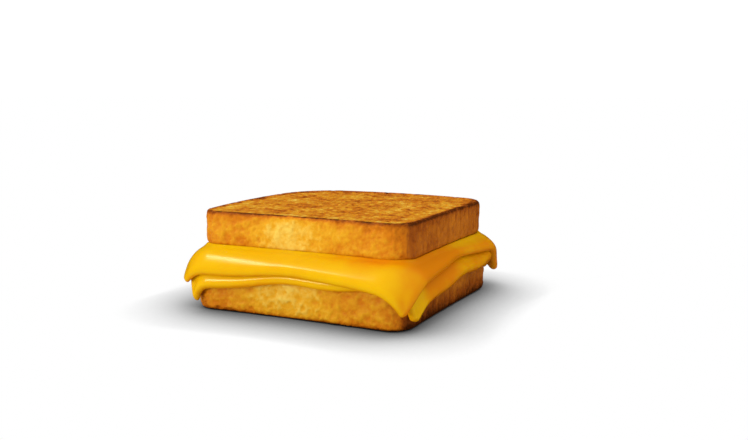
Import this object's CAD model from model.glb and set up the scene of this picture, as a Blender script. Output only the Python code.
# %% [markdown]
# # Grilled cheese sandwich
#
# The real thing is four layers: a thick slice of toast, two slices of cheese that have melted and hang over
# its edges, and a second slice of toast that presses them flat. The CAD model gives the place and the size
# of each layer, and this lesson gives each one the surface of the real food. Everything is in metres: the
# front of the sandwich faces -Y, its right side faces +X, and the floor is at height 0.

# %% Load the frame
import math

import bmesh
import bpy
import numpy as np
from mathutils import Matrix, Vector, noise


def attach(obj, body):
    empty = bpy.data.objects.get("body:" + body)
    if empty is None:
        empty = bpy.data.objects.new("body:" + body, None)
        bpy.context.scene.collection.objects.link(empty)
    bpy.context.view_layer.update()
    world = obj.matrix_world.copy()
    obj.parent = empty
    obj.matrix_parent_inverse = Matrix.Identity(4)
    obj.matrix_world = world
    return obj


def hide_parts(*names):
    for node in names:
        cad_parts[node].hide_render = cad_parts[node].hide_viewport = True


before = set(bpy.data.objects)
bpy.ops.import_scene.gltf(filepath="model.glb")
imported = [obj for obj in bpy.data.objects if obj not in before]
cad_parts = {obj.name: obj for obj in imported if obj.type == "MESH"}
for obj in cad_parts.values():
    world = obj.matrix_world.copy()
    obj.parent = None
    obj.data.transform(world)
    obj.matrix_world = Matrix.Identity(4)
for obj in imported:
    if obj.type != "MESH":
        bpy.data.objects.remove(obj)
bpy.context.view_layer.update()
print("CAD nodes:", sorted(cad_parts))

# %% [markdown]
# ## The camera
#
# A long lens, low over the table, shows the front of the sandwich on the left and its right side in shade.
# The camera looks down by only a few degrees, so the layers are seen almost edge-on.

# %% Camera
CAMERA_PLACE = (0.2174, -0.41285, 0.10915)
CAMERA_TURN = 26.204
CAMERA_DOWN = 8.294
CAMERA_LENS = 42.77
SENSOR_WIDTH = 36
NEAREST_SEEN = 0.01

bpy.ops.object.camera_add(
    location=CAMERA_PLACE,
    rotation=(math.radians(90 - CAMERA_DOWN), 0, math.radians(CAMERA_TURN)),
)
camera = bpy.context.object
camera.data.lens = CAMERA_LENS
camera.data.sensor_width = SENSOR_WIDTH
camera.data.clip_start = NEAREST_SEEN
bpy.context.scene.camera = camera
print("camera is", round(camera.location.length, 3), "m from the sandwich")

# %% [markdown]
# ## The table
#
# The sandwich stands on a plain white table, with a soft grey shadow where the two nearly touch. Light that
# bounces off yellow food tints a white surface, so this table glows with its own white instead. An Ambient
# Occlusion node measures how much of the space above each spot is covered, and dims the glow there. Raising
# that to a power makes the shadow deeper close to the food.

# %% Floor
def empty_material(name):
    material = bpy.data.materials.new(name)
    material.use_nodes = True
    return material, material.node_tree.nodes, material.node_tree.links


SHADOW_REACH = 0.038
SHADOW_DEPTH = 2.0
SHADOW_RAYS = 16
TABLE_SIZE = 30
TABLE_GAP = 0.0002

bpy.ops.object.select_all(action="DESELECT")
bpy.ops.mesh.primitive_plane_add(size=TABLE_SIZE, location=(0, 0, -TABLE_GAP))
floor = bpy.context.object
floor.name = "floor"
table_white, nodes, links = empty_material("table_white")
table_white.cycles.emission_sampling = "NONE"
open_sky = nodes.new("ShaderNodeAmbientOcclusion")
open_sky.samples = SHADOW_RAYS
open_sky.inputs["Distance"].default_value = SHADOW_REACH
deeper = nodes.new("ShaderNodeMath")
deeper.operation = "POWER"
deeper.inputs[1].default_value = SHADOW_DEPTH
links.new(open_sky.outputs["AO"], deeper.inputs[0])
glow = nodes.new("ShaderNodeEmission")
links.new(deeper.outputs["Value"], glow.inputs["Strength"])
links.new(glow.outputs["Emission"], nodes["Material Output"].inputs["Surface"])
floor.data.materials.append(table_white)
floor.visible_glossy = False

# %% [markdown]
# ## The lights
#
# A large soft light at the front left lights the front and leaves the right side in shade. A narrow strip
# above draws the bright line along the bend of the upper cheese, and a small light lower down puts glints
# on the crusts and on the lower cheese. Light linking sends each of them only to the pieces in its
# collection, so none falls on the table. A pale world, stronger from above, fills the shade. Colours are
# shown with the Standard view, because the film-like one would grey the yellow of the cheese.

# %% Lights
WORLD_LOW = 0.50
WORLD_HIGH = 1.55
BACKDROP = 1.1
SANDWICH_MIDDLE = (0, 0, 0.02)
FRONT_LIP = (0, -0.06, 0.02)


def soft_light(name, place, aim, width, height, watts):
    """A rectangular light that faces the point it is aimed at."""
    bpy.ops.object.light_add(type="AREA", location=place)
    light = bpy.context.object
    light.name = name
    light.rotation_euler = (Vector(aim) - Vector(place)).to_track_quat("-Z", "Y").to_euler()
    light.data.shape = "RECTANGLE"
    light.data.size = width
    light.data.size_y = height
    light.data.energy = watts
    return light


front = soft_light("front_light", (-0.50, -0.98, 0.10), SANDWICH_MIDDLE, 0.45, 0.16, 3.8)
front.visible_glossy = False
over = soft_light("over_light", (-0.54, -0.25, 0.80), FRONT_LIP, 0.26, 0.03, 0.90)
low = soft_light("low_light", (-0.60, -0.88, 0.32), SANDWICH_MIDDLE, 0.20, 0.06, 1.6)
lit_sandwich = bpy.data.collections.new("lit_sandwich")
lit_low = bpy.data.collections.new("lit_low")
for light, group in ((front, lit_sandwich), (over, lit_sandwich), (low, lit_low)):
    light.light_linking.receiver_collection = group

world = bpy.data.worlds.new("studio")
bpy.context.scene.world = world
world.use_nodes = True
world.cycles_visibility.glossy = False
nodes, links = world.node_tree.nodes, world.node_tree.links
way = nodes.new("ShaderNodeTexCoord")
split = nodes.new("ShaderNodeSeparateXYZ")
links.new(way.outputs["Generated"], split.inputs["Vector"])
height = nodes.new("ShaderNodeMapRange")
height.inputs["From Min"].default_value = 0.0
height.inputs["From Max"].default_value = 1.0
height.inputs["To Min"].default_value = WORLD_LOW
height.inputs["To Max"].default_value = WORLD_HIGH
links.new(split.outputs["Z"], height.inputs["Value"])
around = nodes["Background"]
around.inputs["Color"].default_value = (1, 1, 1, 1)
links.new(height.outputs["Result"], around.inputs["Strength"])
behind = nodes.new("ShaderNodeBackground")
behind.inputs["Color"].default_value = (1, 1, 1, 1)
behind.inputs["Strength"].default_value = BACKDROP
seen = nodes.new("ShaderNodeLightPath")
either = nodes.new("ShaderNodeMixShader")
links.new(seen.outputs["Is Camera Ray"], either.inputs["Fac"])
links.new(around.outputs["Background"], either.inputs[1])
links.new(behind.outputs["Background"], either.inputs[2])
links.new(either.outputs["Shader"], nodes["World Output"].inputs["Surface"])
bpy.context.scene.view_settings.view_transform = "Standard"

# %% [markdown]
# ## Working by hand, in code
#
# The operators below are the ones that a modeller clicks. They act on whatever is selected, so every step
# first deselects everything and then selects faces or edges by their place. Some shapes here, such as a
# sheet that bends round a rim, have no operator, and for those the points of the mesh are read as rows of
# numbers, moved and put back.

# %% Selecting and moving points
def deselect_all():
    if bpy.context.mode != "OBJECT":
        bpy.ops.object.mode_set(mode="OBJECT")
    bpy.ops.object.select_all(action="DESELECT")


def take(piece):
    """Makes one piece the only selected and active one."""
    deselect_all()
    piece.select_set(True)
    bpy.context.view_layer.objects.active = piece


def select_edges(piece, test):
    """In edit mode, selects the edges that pass a test and nothing else."""
    bpy.ops.mesh.select_mode(type="EDGE")
    bpy.ops.mesh.select_all(action="DESELECT")
    shape = bmesh.from_edit_mesh(piece.data)
    for edge in shape.edges:
        edge.select_set(bool(test(edge)))
    bmesh.update_edit_mesh(piece.data)


def level_at(height):
    """A test for edges that lie flat at one height and turn the surface sharply."""
    def test(edge):
        flat = all(abs(vert.co.z - height) < 1e-6 for vert in edge.verts)
        return flat and edge.calc_face_angle(0) > math.radians(45)
    return test


def points_of(piece):
    points = np.empty(len(piece.data.vertices) * 3, np.float32)
    piece.data.vertices.foreach_get("co", points)
    return points.reshape(-1, 3).astype(float)


def normals_of(piece):
    normals = np.empty(len(piece.data.vertices) * 3, np.float32)
    piece.data.vertex_normals.foreach_get("vector", normals)
    return normals.reshape(-1, 3).astype(float)


def put_points(piece, points):
    piece.data.vertices.foreach_set("co", points.astype(np.float32).ravel())
    piece.data.update()


def keep_value(piece, name, values):
    """Stores one number a point on the mesh, for the materials to read."""
    layer = piece.data.attributes.new(name, "FLOAT", "POINT")
    layer.data.foreach_set("value", values.astype(np.float32))


def smoothstep(low, high, x):
    t = np.clip((x - low) / (high - low), 0, 1)
    return t * t * (3 - 2 * t)


def hill(x, middle, width):
    """A smooth bump of height 1 round one value."""
    return np.exp(-(((x - middle) / width) ** 2))


# %% [markdown]
# ## The plan of the loaf
#
# Both slices come from one square loaf: four corners of different roundness, nearly straight sides and a
# crust that domes up at the back. The plan is a ring of points. Everything else is measured from it: the
# toast is cut to it, and the cheese bends where it passes over it.

# %% Plan of the loaf
BOTTOM_SLICE_THICK = 0.0196
CHEESE_THICK = 0.0056
TOP_SLICE_THICK = 0.0176
CONTACT_GAP = 0.0003
BOTTOM_SLICE_SIZE = (0.1175, 0.1170)
TOP_SLICE_SIZE = (0.1150, 0.1073)
TOP_SLICE_SHIFT = (-0.0006, 0.0013)
CORNER_RADII = (0.0100, 0.0124, 0.0138, 0.0230)  # front left, front right, back right, back left
CORNER_SIGNS = ((-1, -1), (1, -1), (1, 1), (-1, 1))
SIDE_BOWS = (-0.0016, -0.0010, 0.0089, 0.0053)  # front, right, back, left


def bowed(points, size, shift):
    """Bows the sides of a square plan: most in the middle of a side, and not at all at its ends."""
    front, right, back, left = SIDE_BOWS
    u, v = ((points[:, :2] - shift) / (np.array(size) / 2)).T
    moved = points.copy()
    moved[:, 0] += np.where(u > 0, right, left) * u * (1 - v**2)
    moved[:, 1] += np.where(v > 0, back, front) * v * (1 - u**2)
    return moved


def loaf_ring(size, shift=(0.0, 0.0), corner_steps=24, side_steps=40):
    """The plan of a slice as a ring of points, anticlockwise from its front left corner."""
    half = np.array(size) / 2
    signs = np.array(CORNER_SIGNS)
    arcs = []
    for i, radius in enumerate(CORNER_RADII):
        turns = math.pi + (i + np.linspace(0, 1, corner_steps + 1)) * math.pi / 2
        arcs.append(signs[i] * (half - radius) + radius * np.stack([np.cos(turns), np.sin(turns)], axis=1))
    steps = np.linspace(0, 1, side_steps + 1)[1:-1, None]
    sides = [arcs[i][-1] + (arcs[(i + 1) % 4][0] - arcs[i][-1]) * steps for i in range(4)]
    ring = np.concatenate([part for pair in zip(arcs, sides) for part in pair])
    return bowed(ring + np.array(shift), size, shift)


def beyond_edge(points, ring):
    """How far each point lies outside the ring (inside is negative), its nearest edge point and the way out."""
    steps = np.roll(ring, -1, axis=0) - ring
    best = np.full(len(points), np.inf)
    reach = np.zeros(len(points))
    edge = np.zeros((len(points), 2))
    for start, step in zip(ring, steps):
        share = np.clip(((points - start) @ step) / (step @ step), 0, 1)
        nearest = start + share[:, None] * step
        away = points - nearest
        distance = np.hypot(*away.T)
        closer = distance < best
        inside = step[0] * away[:, 1] > step[1] * away[:, 0]
        best[closer] = distance[closer]
        reach[closer] = np.where(inside, -distance, distance)[closer]
        edge[closer] = nearest[closer]
    way_out = (points - edge) / np.where(reach, reach, 1.0)[:, None]
    return reach, edge, way_out


bottom_ring = loaf_ring(BOTTOM_SLICE_SIZE)
top_ring = loaf_ring(TOP_SLICE_SIZE, TOP_SLICE_SHIFT)
print("plan of the bottom slice in mm:", np.round(1000 * np.ptp(bottom_ring, axis=0), 1))

# %% [markdown]
# ## Cutting a slice
#
# A slice starts as a cube at its size and place. Its four upright edges are bevelled, each by its own
# radius, and then its two rims. A bevelled box has long thin faces, which can't hold crumbs, so a Remesh
# modifier turns it into even cells about as wide as a coarse crumb.

# %% Slice of bread
RESTING_RIM_RADIUS = 0.0026
BOTTOM_CHEESE_RIM_RADIUS = 0.0040
TOP_CHEESE_RIM_RADIUS = 0.0022
TOP_RIM_RADIUS = 0.0016
CELL = 0.00068


def cut_slice(name, size, shift, base, thick, lower_rim, upper_rim):
    deselect_all()
    bpy.ops.mesh.primitive_cube_add(size=1, location=(*shift, base + thick / 2), scale=(*size, thick))
    piece = bpy.context.object
    piece.name = name
    bpy.ops.object.transform_apply(location=True, rotation=True, scale=True)
    bpy.ops.object.mode_set(mode="EDIT")
    for (x, y), radius in zip(CORNER_SIGNS, CORNER_RADII):
        corner = Vector((shift[0] + x * size[0] / 2, shift[1] + y * size[1] / 2))
        select_edges(piece, lambda edge: all((vert.co.xy - corner).length < 1e-5 for vert in edge.verts))
        bpy.ops.mesh.bevel(offset=radius, segments=12, affect="EDGES", clamp_overlap=False)
    for height, radius in ((base, lower_rim), (base + thick, upper_rim)):
        select_edges(piece, level_at(height))
        bpy.ops.mesh.bevel(offset=radius, segments=4, affect="EDGES", clamp_overlap=False)
    bpy.ops.object.mode_set(mode="OBJECT")
    remesh = piece.modifiers.new("even_cells", "REMESH")
    remesh.mode = "VOXEL"
    remesh.voxel_size = CELL
    bpy.ops.object.modifier_apply(modifier="even_cells")
    put_points(piece, bowed(points_of(piece), size, shift))
    return piece


top_base = BOTTOM_SLICE_THICK + 2 * CHEESE_THICK + 3 * CONTACT_GAP
bottom_toast = cut_slice(
    "bottom_toast", BOTTOM_SLICE_SIZE, (0.0, 0.0), 0.0, BOTTOM_SLICE_THICK,
    RESTING_RIM_RADIUS, BOTTOM_CHEESE_RIM_RADIUS,
)
top_toast = cut_slice(
    "top_toast", TOP_SLICE_SIZE, TOP_SLICE_SHIFT, top_base, TOP_SLICE_THICK,
    TOP_CHEESE_RIM_RADIUS, TOP_RIM_RADIUS,
)
print("slices:", {piece.name: len(piece.data.polygons) for piece in (bottom_toast, top_toast)})

# %% [markdown]
# ## The surface of the toast
#
# Fried bread is never flat. Its sides are bumpy, with small grains and a few open pores. On two sides the
# crumb was torn upright, so the bumps run up and down there. The pan pressed the faces, which leaves a
# raised margin round a flatter, rougher middle, and the rim between side and face fries hardest and turns
# ragged.
#
# Bumps and grains come from Displace modifiers with cloud textures, and the low creases between them from a
# ridged one. Each row of the relief table is one such modifier. Pores have to differ in size, so they are
# pressed in by code: each cell of a Voronoi pattern holds one pore, and only some cells get a deep one.

# %% Relief of the toast
# The size and height of the bumps, the vertex group that they are on, and how they differ from plain ones.
TOAST_RELIEF = (
    (0.0140, 0.0009, "on_sides", {"depth": 1}),
    (0.0036, 0.0011, "on_sides", {}),
    (0.0060, 0.0004, "on_sides", {"creased": True}),
    (0.0014, 0.0009, "on_sides", {}),
    (0.0020, 0.0011, "on_torn_sides", {"stretch": (1, 1, 6)}),
    (0.0035, 0.0005, "on_faces", {}),
    (0.0013, 0.0004, "on_faces", {}),
)
RIM_CALM = 0.0022
FACE_ROUGH_FROM = 0.0060
MARGIN_STEP = (0.0010, 0.0042)
MARGIN_DROP = 0.0006
MIDDLE_STEP = (0.0045, 0.0120)
MIDDLE_DROP = 0.0003
PORE_CELL = 0.0036
PORE_SHARE = 0.35
PORE_DEPTH = 0.0005


def push_out(piece, size, strength, where="", depth=2, stretch=(1, 1, 1), creased=False):
    """Moves the surface in and out along its normals, in round lumps or in sharp creased ridges of this size."""
    if creased:
        texture = bpy.data.textures.new("ridges", "MUSGRAVE")
        texture.musgrave_type = "RIDGED_MULTIFRACTAL"
        texture.octaves = depth
    else:
        texture = bpy.data.textures.new("lumps", "CLOUDS")
        texture.noise_depth = depth
    texture.noise_scale = size
    bpy.ops.object.empty_add(location=(0, 0, 0))
    lattice = bpy.context.object
    lattice.scale = stretch
    bpy.context.view_layer.update()
    take(piece)
    modifier = piece.modifiers.new("push_out", "DISPLACE")
    modifier.texture = texture
    modifier.texture_coords = "OBJECT"
    modifier.texture_coords_object = lattice
    modifier.mid_level = 0.5
    modifier.strength = strength
    modifier.vertex_group = where
    bpy.ops.object.modifier_apply(modifier="push_out")
    bpy.data.objects.remove(lattice)


def mark_group(piece, name, weights):
    group = piece.vertex_groups.new(name=name)
    for i, weight in enumerate(weights):
        if weight > 0.01:
            group.add([i], float(weight), "REPLACE")


def pores(points, size, share):
    """How deep each point lies in a pore, 0 to 1. Share is the share of the cells that hold one."""
    deep = np.zeros(len(points))
    for i, row in enumerate(points / size):
        distances, centres = noise.voronoi(Vector(row))
        luck = noise.cell(centres[0] * 7.31)
        if luck < share:
            width = 0.25 + 0.35 * luck / share
            deep[i] = max(0.0, 1 - (distances[0] / width) ** 2)
    return deep


def toast_browning(points, ring, base, thick, fried_side, reach, face, torn, middle, from_rim):
    """How brown each point is. The fried side is -1 for the lower face and 1 for the upper one."""
    half = np.ptp(ring, axis=0) / 2
    u, v = ((points[:, :2] - ring.mean(0)) / half).T
    corner = smoothstep(0.55, 0.95, np.abs(u * v))
    pale = hill(u, -0.06, 0.33) * (v < 0) + hill(v, 0.1, 0.3) * (u > 0) * 0.3
    pale += hill(u, 0.2, 0.4) * (v > 0)
    right = torn * (points[:, 0] > 0)
    low = smoothstep(0.6, 0.0, (points[:, 2] - base) / thick) * (fried_side < 0)
    on_side = 0.39 + 0.06 * corner * (1 - 0.5 * torn) - 0.30 * pale
    on_side += 0.08 * torn + 0.16 * right * (1 + 1.9 * low)
    on_side += 0.32 * np.exp(-from_rim / 2.2)

    inward = -reach * 1000
    at_back = smoothstep(0.3, 0.9, v)
    rim_width = 3.6 + 3.4 * at_back
    on_face = 0.36 - 0.12 * hill(inward, 8.0, 3.5) * (1 - at_back) + 0.06 * middle
    on_face += 0.40 * hill(inward, 0.5, rim_width)
    return on_side * (1 - face) + on_face * face


def toast_surface(piece, ring, base, thick, fried_side):
    """Presses, roughens and pits a slice, and keeps on its points what the toast material reads."""
    points = points_of(piece)
    normals = normals_of(piece)
    reach = beyond_edge(points[:, :2], ring)[0]
    face = smoothstep(0.55, 0.95, np.abs(normals[:, 2]))
    torn = smoothstep(0.55, 0.9, np.abs(normals[:, 0])) * (1 - face)
    from_faces = np.minimum(points[:, 2] - base, base + thick - points[:, 2])
    calm = 0.25 + 0.75 * smoothstep(0.0, RIM_CALM, from_faces)
    mark_group(piece, "on_sides", (1 - face) * (1 - 0.6 * torn) * calm)
    mark_group(piece, "on_torn_sides", torn * calm)
    mark_group(piece, "on_faces", face * smoothstep(0.0, FACE_ROUGH_FROM, -reach))
    middle = smoothstep(*MIDDLE_STEP, -reach) * face
    pressed = smoothstep(*MARGIN_STEP, -reach) * face
    upper = np.where(normals[:, 2] > 0, 1.0, -1.0)
    points[:, 2] -= (MARGIN_DROP * pressed + MIDDLE_DROP * middle) * upper
    put_points(piece, points)

    smooth_points = points_of(piece)
    smooth_normals = normals_of(piece)
    for size, strength, where, options in TOAST_RELIEF:
        push_out(piece, size, strength, where, **options)

    points = points_of(piece)
    deep = pores(points, PORE_CELL, PORE_SHARE) * (0.35 + 0.65 * middle)
    points -= smooth_normals * (PORE_DEPTH * deep)[:, None]
    put_points(piece, points)

    relief = ((points - smooth_points) * smooth_normals).sum(1) * 1000
    fried = base if fried_side < 0 else base + thick
    from_rim = np.hypot(reach, smooth_points[:, 2] - fried) * 1000
    browning = toast_browning(
        points, ring, base, thick, fried_side, reach, face, torn, middle, from_rim
    )
    for name, values in (
        ("relief", relief),
        ("face", face),
        ("from_rim", from_rim),
        ("browning", browning),
        ("pore", deep),
    ):
        keep_value(piece, name, values)
    print(piece.name, "relief in mm from", round(relief.min(), 2), "to", round(relief.max(), 2))


toast_surface(bottom_toast, bottom_ring, 0.0, BOTTOM_SLICE_THICK, -1)
toast_surface(top_toast, top_ring, top_base, TOP_SLICE_THICK, 1)

# %% [markdown]
# ## A slice of cheese, flat
#
# The cheese was a square slice with a rounded edge before it melted. It starts as a grid, with narrow cells
# near its edges, where it will bend. Its corners are drawn out where the real ones stretched, and one
# corner of the lower slice is cut off straight, as that end hangs square. Then it is extruded to its
# thickness and its rim is bevelled.

# %% Flat cheese
LIP_RADIUS = 0.0025
EDGE_CELL = 0.0036  # the outermost cell is wide, so that the bevel of the rim fits in it
MARGIN_WIDTH = 0.026
MARGIN_CELLS = 20
MIDDLE_CELLS = 14
RIPPLE_LENGTH = 0.048
RIPPLE_CREST = 0.031

# "reach" is how far each side passes the bread: front, right, back, left. Every other group of four goes round
# the corners from the front left, anticlockwise. "square_end" is the turn of a straight cut in degrees and its
# distance from the middle, and a distance of 1 m cuts nothing off.
LOWER_CUT = {
    "reach": (0.0028, 0.0064, 0.0070, 0.0060),
    "pull": ((0.0045, 0.0105), (0.0085, 0.0015), (-0.0015, -0.0030), (-0.0010, -0.0010)),
    "draw": 1.9,
    "steepest": (88, 90, 90, 84),
    "turn": 2.0,
    "thinning": (0.55, 0.35, 0.50, 0.45),
    "ripple": 0.0008,
    "tip": 0.0030,
    "square_end": (-31, 0.0915),
    "bead": 0.0014,
}
UPPER_CUT = {
    "reach": (0.0042, 0.0015, 0.0060, 0.0075),
    "pull": ((0.0050, 0.0035), (0.0085, 0.0130), (0.0100, 0.0075), (0.0010, 0.0000)),
    "draw": 1.6,
    "steepest": (68, 98, 68, 75),
    "turn": 1.0,
    "thinning": (0.52, 0.32, 0.32, 0.45),
    "ripple": 0.0003,
    "tip": 0.0035,
    "square_end": (-31, 1.0),
    "bead": 0.0006,
}


def corner_blend(u, v, values):
    """Four corner values (front left, front right, back right, back left) blended at u, v from -1 to 1."""
    right = (u + 1) / 2
    back = (v + 1) / 2
    front_value = values[0] * (1 - right) + values[1] * right
    back_value = values[3] * (1 - right) + values[2] * right
    return front_value * (1 - back) + back_value * back


def sheet_lines(low, high):
    """Where the cells of a sheet start and end between its two edges."""
    inner_low, inner_high = low + MARGIN_WIDTH, high - MARGIN_WIDTH
    return np.concatenate(
        [
            [low],
            np.linspace(low + EDGE_CELL, inner_low, MARGIN_CELLS)[:-1],
            np.linspace(inner_low, inner_high, MIDDLE_CELLS + 1)[:-1],
            np.linspace(inner_high, high - EDGE_CELL, MARGIN_CELLS),
            [high],
        ]
    )


def flat_cheese(name, cut):
    front, right, back, left = cut["reach"]
    half_x, half_y = np.array(BOTTOM_SLICE_SIZE) / 2
    xs = sheet_lines(-half_x - left, half_x + right)
    ys = sheet_lines(-half_y - front, half_y + SIDE_BOWS[2] / 2 + back)
    cells = len(xs) - 1
    deselect_all()
    bpy.ops.mesh.primitive_grid_add(x_subdivisions=cells, y_subdivisions=cells, size=2)
    piece = bpy.context.object
    piece.name = name

    points = points_of(piece)
    steps = np.rint((points[:, :2] + 1) / 2 * cells).astype(int)
    x, y = xs[steps[:, 0]], ys[steps[:, 1]]
    u = 2 * (x - xs[0]) / (xs[-1] - xs[0]) - 1
    v = 2 * (y - ys[0]) / (ys[-1] - ys[0]) - 1
    near_corner = np.abs(u * v) ** cut["draw"]
    tip = cut["tip"] * np.abs(u * v) ** 20
    pull_x = near_corner * corner_blend(u, v, [pull[0] for pull in cut["pull"]])
    pull_y = near_corner * corner_blend(u, v, [pull[1] for pull in cut["pull"]])
    ripple_x = cut["ripple"] * np.cos(math.tau * (y - RIPPLE_CREST) / RIPPLE_LENGTH) * np.abs(u) ** 3
    ripple_y = cut["ripple"] * np.cos(math.tau * (x + RIPPLE_CREST) / RIPPLE_LENGTH) * np.abs(v) ** 3
    x = x + (pull_x + ripple_x - tip) * np.sign(u)
    y = y + (pull_y + ripple_y - tip) * np.sign(v)
    end_turn, end_reach = math.radians(cut["square_end"][0]), cut["square_end"][1]
    excess = np.maximum(0, x * math.cos(end_turn) + y * math.sin(end_turn) - end_reach)
    x = x - excess * math.cos(end_turn)
    y = y - excess * math.sin(end_turn)
    cos, sin = math.cos(math.radians(cut["turn"])), math.sin(math.radians(cut["turn"]))
    points = np.stack([x * cos - y * sin, x * sin + y * cos, np.zeros(len(x))], axis=1)
    put_points(piece, points)
    column, row = steps.T
    front_edge = points[row == 0][np.argsort(column[row == 0])][:-1]
    right_edge = points[column == cells][np.argsort(row[column == cells])][:-1]
    back_edge = points[row == cells][np.argsort(-column[row == cells])][:-1]
    left_edge = points[column == 0][np.argsort(-row[column == 0])][:-1]
    outline = np.concatenate([front_edge, right_edge, back_edge, left_edge])[:, :2]

    bpy.ops.object.mode_set(mode="EDIT")
    bpy.ops.mesh.select_all(action="SELECT")
    bpy.ops.mesh.extrude_region_move(TRANSFORM_OT_translate={"value": (0, 0, CHEESE_THICK)})
    bpy.ops.mesh.select_all(action="SELECT")
    bpy.ops.mesh.normals_make_consistent(inside=False)
    for height in (0.0, CHEESE_THICK):
        select_edges(piece, level_at(height))
        bpy.ops.mesh.bevel(offset=LIP_RADIUS, segments=3, affect="EDGES", clamp_overlap=False)
    bpy.ops.object.mode_set(mode="OBJECT")
    return piece, outline


lower_cheese, lower_outline = flat_cheese("lower_cheese", LOWER_CUT)
upper_cheese, upper_outline = flat_cheese("upper_cheese", UPPER_CUT)
print("flat cheese faces:", len(lower_cheese.data.polygons), len(upper_cheese.data.polygons))

# %% [markdown]
# ## Melting it over the bread
#
# Where the slice passes the rim of the bottom toast it bends down round it, gets thinner as it stretches,
# and then hangs. Blender's Bend works along one axis only, and this sheet bends round a whole outline, so
# each point is moved in code: its distance past the rim becomes an angle round the rim, and what is left
# over hangs straight. The corners stretched by different amounts, so each has its own thickness and its own
# steepest slope.

# %% Draped cheese
BEND_GAP = 0.0004


def thinned(cut, u, v, angle):
    """Thickness of a sheet where it has bent down by this angle. Some corners stretched more than others."""
    return CHEESE_THICK * (1 - corner_blend(u, v, cut["thinning"]) * np.sin(np.minimum(angle, math.pi / 2)))


def drape(piece, cut, under, ring, outline):
    points = points_of(piece)
    flat = points[:, :2]
    inward = -beyond_edge(flat, outline)[0]
    rim = BOTTOM_CHEESE_RIM_RADIUS
    low, high = flat.min(0), flat.max(0)
    u, v = (2 * (flat - low) / (high - low) - 1).T
    middle_radius = rim + CONTACT_GAP + thinned(cut, u, v, math.pi / 4) / 2
    for sheet in under:
        middle_radius += thinned(sheet, u, v, math.pi / 4) + CONTACT_GAP
    steepest = np.radians(corner_blend(u, v, cut["steepest"]))
    reach, edge, way_out = beyond_edge(flat, ring)
    run = np.maximum(0.0, reach + rim)
    angle = np.minimum(run / middle_radius, steepest)
    hanging = np.maximum(0.0, run - middle_radius * steepest)
    gap = CONTACT_GAP + BEND_GAP * np.sin(angle)
    bead = cut["bead"] * hill(inward, 0.0028, 0.0030) * np.sin(angle)
    radius = rim + gap + points[:, 2] / CHEESE_THICK * (thinned(cut, u, v, angle) + bead)
    for sheet in under:
        radius += thinned(sheet, u, v, angle) + gap
    out = -rim + radius * np.sin(angle) + hanging * np.cos(angle)
    height = BOTTOM_SLICE_THICK - rim + radius * np.cos(angle) - hanging * np.sin(angle)
    past = (run > 0)[:, None]
    flat = np.where(past, edge + way_out * out[:, None], flat)
    put_points(piece, np.column_stack([flat, height]))


drape(lower_cheese, LOWER_CUT, [], bottom_ring, lower_outline)
drape(upper_cheese, UPPER_CUT, [LOWER_CUT], bottom_ring, upper_outline)
print("draped cheese faces:", len(lower_cheese.data.polygons), len(upper_cheese.data.polygons))

# %% [markdown]
# ## Rounding the cheese, and where it looks deep
#
# A Subdivision Surface modifier rounds the bends. Melted cheese looks more orange where little light
# reaches it: on the side in shade, underneath, and close to the crust above. That is worked out here once
# and kept on the points, for the material to read.

# %% Rounding and depth of colour
LOWER_SHADE = 0.32
UPPER_SHADE = 0.38
UNDERSIDE_SHADE = 0.3
CRUST_SHADE = 0.5


def depth_of_colour(piece, shade):
    points = points_of(piece)
    normals = normals_of(piece)
    right_side = smoothstep(0.2, 0.8, normals[:, 0])
    underside = smoothstep(0.0, -0.8, normals[:, 2])
    from_crust = np.abs(beyond_edge(points[:, :2], top_ring)[0])
    sheltered = smoothstep(0.012, 0.0, from_crust)
    sheltered *= smoothstep(0.0, 0.04, points[:, 0]) * smoothstep(0.03, -0.03, points[:, 1])
    square_end = smoothstep(-0.036, -0.048, points[:, 1]) * (piece is lower_cheese)
    deep = shade * right_side * (1 - square_end)
    return deep + UNDERSIDE_SHADE * underside + CRUST_SHADE * sheltered


for piece, shade in ((lower_cheese, LOWER_SHADE), (upper_cheese, UPPER_SHADE)):
    take(piece)
    rounder = piece.modifiers.new("rounder", "SUBSURF")
    rounder.levels = rounder.render_levels = 1
    bpy.ops.object.modifier_apply(modifier="rounder")
    bpy.ops.object.shade_smooth()
    keep_value(piece, "deep", depth_of_colour(piece, shade))
    print(piece.name, "lowest point in mm:", round(1000 * points_of(piece)[:, 2].min(), 1))

# %% [markdown]
# The top slice sank into the soft cheese, which rose against its crust in a low welt.

# %% Welt under the top slice
WELT_HEIGHT = 0.0012

points = points_of(upper_cheese)
above = normals_of(upper_cheese)[:, 2] > 0.3
reach = beyond_edge(points[:, :2], top_ring)[0]
points[:, 2] += WELT_HEIGHT * hill(reach, -0.0003, 0.0014) * above
put_points(upper_cheese, points)
print("welt:", round(1000 * WELT_HEIGHT, 1), "mm high")

# %% [markdown]
# ## Materials
#
# One node group makes the blotches that both foods have: large and small clouds, mixed into one value. The
# toast takes its browning from it, and the cheese the faint unevenness of its colour and gloss.

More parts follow.
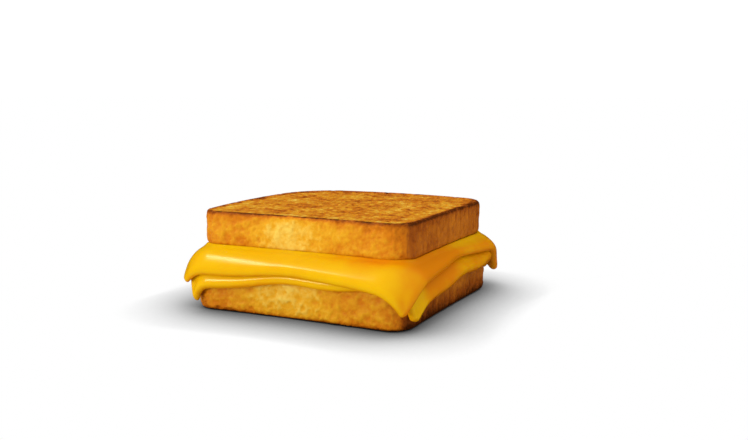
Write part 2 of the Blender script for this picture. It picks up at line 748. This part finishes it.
# %% Blotches, shared by both foods
def build_blotches():
    group = bpy.data.node_groups.new("blotches", "ShaderNodeTree")
    for name in ("Large Size", "Small Size", "Small Share"):
        group.interface.new_socket(name, in_out="INPUT", socket_type="NodeSocketFloat")
    group.interface.new_socket("Value", in_out="OUTPUT", socket_type="NodeSocketFloat")
    nodes, links = group.nodes, group.links
    entry, leave = nodes.new("NodeGroupInput"), nodes.new("NodeGroupOutput")
    place = nodes.new("ShaderNodeTexCoord")
    mix = nodes.new("ShaderNodeMix")
    for i, name in enumerate(("Large Size", "Small Size")):
        scale = nodes.new("ShaderNodeMath")
        scale.operation = "DIVIDE"
        scale.inputs[0].default_value = 1.0
        links.new(entry.outputs[name], scale.inputs[1])
        clouds = nodes.new("ShaderNodeTexNoise")
        clouds.inputs["Detail"].default_value = 3.0
        links.new(place.outputs["Object"], clouds.inputs["Vector"])
        links.new(scale.outputs["Value"], clouds.inputs["Scale"])
        links.new(clouds.outputs["Fac"], mix.inputs[2 + i])
    links.new(entry.outputs["Small Share"], mix.inputs[0])
    links.new(mix.outputs[0], leave.inputs["Value"])
    return group


blotches = build_blotches()


def add_blotches(nodes, large, small, share):
    node = nodes.new("ShaderNodeGroup")
    node.node_tree = blotches
    node.inputs["Large Size"].default_value = large
    node.inputs["Small Size"].default_value = small
    node.inputs["Small Share"].default_value = share
    return node.outputs["Value"]


def combine(nodes, links, operation, first, second):
    """A Math node; either value may be a number or another node's output."""
    node = nodes.new("ShaderNodeMath")
    node.operation = operation
    for socket, value in zip(node.inputs, (first, second)):
        if isinstance(value, (int, float)):
            socket.default_value = value
        else:
            links.new(value, socket)
    return node.outputs["Value"]


def read_value(nodes, name):
    node = nodes.new("ShaderNodeAttribute")
    node.attribute_name = name
    return node.outputs["Fac"]


def colour_ramp(nodes, links, value, stops):
    """The colour at a value, from stops that are each a position and a colour."""
    ramp = nodes.new("ShaderNodeValToRGB")
    elements = ramp.color_ramp.elements
    for element, (position, colour) in zip((elements[0], elements[1]), (stops[0], stops[-1])):
        element.position = position
        element.color = (*colour, 1)
    for position, colour in stops[1:-1]:
        elements.new(position).color = (*colour, 1)
    links.new(value, ramp.inputs["Fac"])
    return ramp.outputs["Color"]


print("group:", blotches.name, "with", len(blotches.nodes), "nodes")

# %% [markdown]
# ## Toast
#
# One number, the browning, runs from pale crumb to burnt rim, and a Color Ramp turns it into a colour. It
# starts from what was kept on the points. Blotches make it uneven, hollows and pores come out browner than
# the bumps, and a ragged band along the rim is the darkest. A fine bump adds crumbs too small for the mesh.

# %% Toast
TOAST_COLOURS = (
    (0.0, (0.77, 0.50, 0.075)),
    (0.22, (0.69, 0.32, 0.009)),
    (0.48, (0.57, 0.165, 0.003)),
    (0.75, (0.32, 0.066, 0.001)),
    (1.0, (0.09, 0.017, 0.001)),
)
RIM_BAND = (1.6, 3.8)
RIM_BROWNING = 0.28

toast, nodes, links = empty_material("toast")
shader = nodes["Principled BSDF"]
mottle = add_blotches(nodes, 0.016, 0.0026, 0.60)
mottle = combine(nodes, links, "SUBTRACT", mottle, 0.5)
contrast = combine(nodes, links, "MULTIPLY", read_value(nodes, "face"), 1.9)
contrast = combine(nodes, links, "ADD", contrast, 0.50)
mottle = combine(nodes, links, "MULTIPLY", mottle, contrast)
browning = combine(nodes, links, "ADD", read_value(nodes, "browning"), mottle)
relief = combine(nodes, links, "MULTIPLY", read_value(nodes, "relief"), -0.20)
browning = combine(nodes, links, "ADD", browning, relief)
pore = combine(nodes, links, "MULTIPLY", read_value(nodes, "pore"), 0.10)
browning = combine(nodes, links, "ADD", browning, pore)
ragged = add_blotches(nodes, 0.006, 0.0015, 0.5)
ragged = combine(nodes, links, "MULTIPLY", ragged, 3.0)
line = combine(nodes, links, "ADD", read_value(nodes, "from_rim"), ragged)
rim = nodes.new("ShaderNodeMapRange")
rim.interpolation_type = "SMOOTHSTEP"
rim.inputs["From Min"].default_value, rim.inputs["From Max"].default_value = RIM_BAND
rim.inputs["To Min"].default_value = RIM_BROWNING
rim.inputs["To Max"].default_value = 0.0
links.new(line, rim.inputs["Value"])
browning = combine(nodes, links, "ADD", browning, rim.outputs["Result"])
links.new(colour_ramp(nodes, links, browning, TOAST_COLOURS), shader.inputs["Base Color"])
shader.inputs["Roughness"].default_value = 0.40
shader.inputs["Specular IOR Level"].default_value = 0.25
shader.inputs["Specular Tint"].default_value = (1.0, 0.80, 0.35, 1)
crumbs = add_blotches(nodes, 0.0018, 0.0007, 0.4)
bump = nodes.new("ShaderNodeBump")
bump.inputs["Strength"].default_value = 0.6
bump.inputs["Distance"].default_value = 0.0007
links.new(crumbs, bump.inputs["Height"])
links.new(bump.outputs["Normal"], shader.inputs["Normal"])
print("toast colours:", len(TOAST_COLOURS))

# %% [markdown]
# ## Cheese
#
# Melted cheese is smooth and a little see-through, so light enters it and comes out again nearby. Its
# yellow turns to orange where the points were marked as deep, and faint blotches keep it from being one
# flat colour.

# %% Cheese
CHEESE_COLOURS = (
    (0.0, (0.70, 0.21, 0.001)),
    (0.4, (0.74, 0.38, 0.001)),
    (0.7, (0.76, 0.44, 0.001)),
)

cheese, nodes, links = empty_material("cheese")
shader = nodes["Principled BSDF"]
shade = add_blotches(nodes, 0.030, 0.008, 0.3)
shade = combine(nodes, links, "SUBTRACT", shade, read_value(nodes, "deep"))
links.new(colour_ramp(nodes, links, shade, CHEESE_COLOURS), shader.inputs["Base Color"])
shader.inputs["Roughness"].default_value = 0.20
shader.inputs["Specular IOR Level"].default_value = 0.40
shader.inputs["Specular Tint"].default_value = (1.0, 0.90, 0.50, 1)
shader.inputs["Subsurface Weight"].default_value = 0.15
shader.inputs["Subsurface Radius"].default_value = (1.0, 0.5, 0.05)
shader.inputs["Subsurface Scale"].default_value = 0.004

print("cheese colours:", len(CHEESE_COLOURS))

# %% [markdown]
# ## Into the frame
#
# Each finished piece gets its material and takes the place of one CAD node. The low light skips the upper
# cheese, which already has its bright line.

# %% Put each piece on the frame
for piece, node, slot, material in (
    (bottom_toast, "bread_bottom", "toast", toast),
    (lower_cheese, "cheese_lower", "cheese", cheese),
    (upper_cheese, "cheese_upper", "cheese", cheese),
    (top_toast, "bread_top", "toast", toast),
):
    piece.data.materials.clear()
    piece.data.materials.append(material)
    lit_sandwich.objects.link(piece)
    if piece is not upper_cheese:
        lit_low.objects.link(piece)
    take(piece)
    bpy.ops.object.shade_smooth()
    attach(piece, "root")
    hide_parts(node)
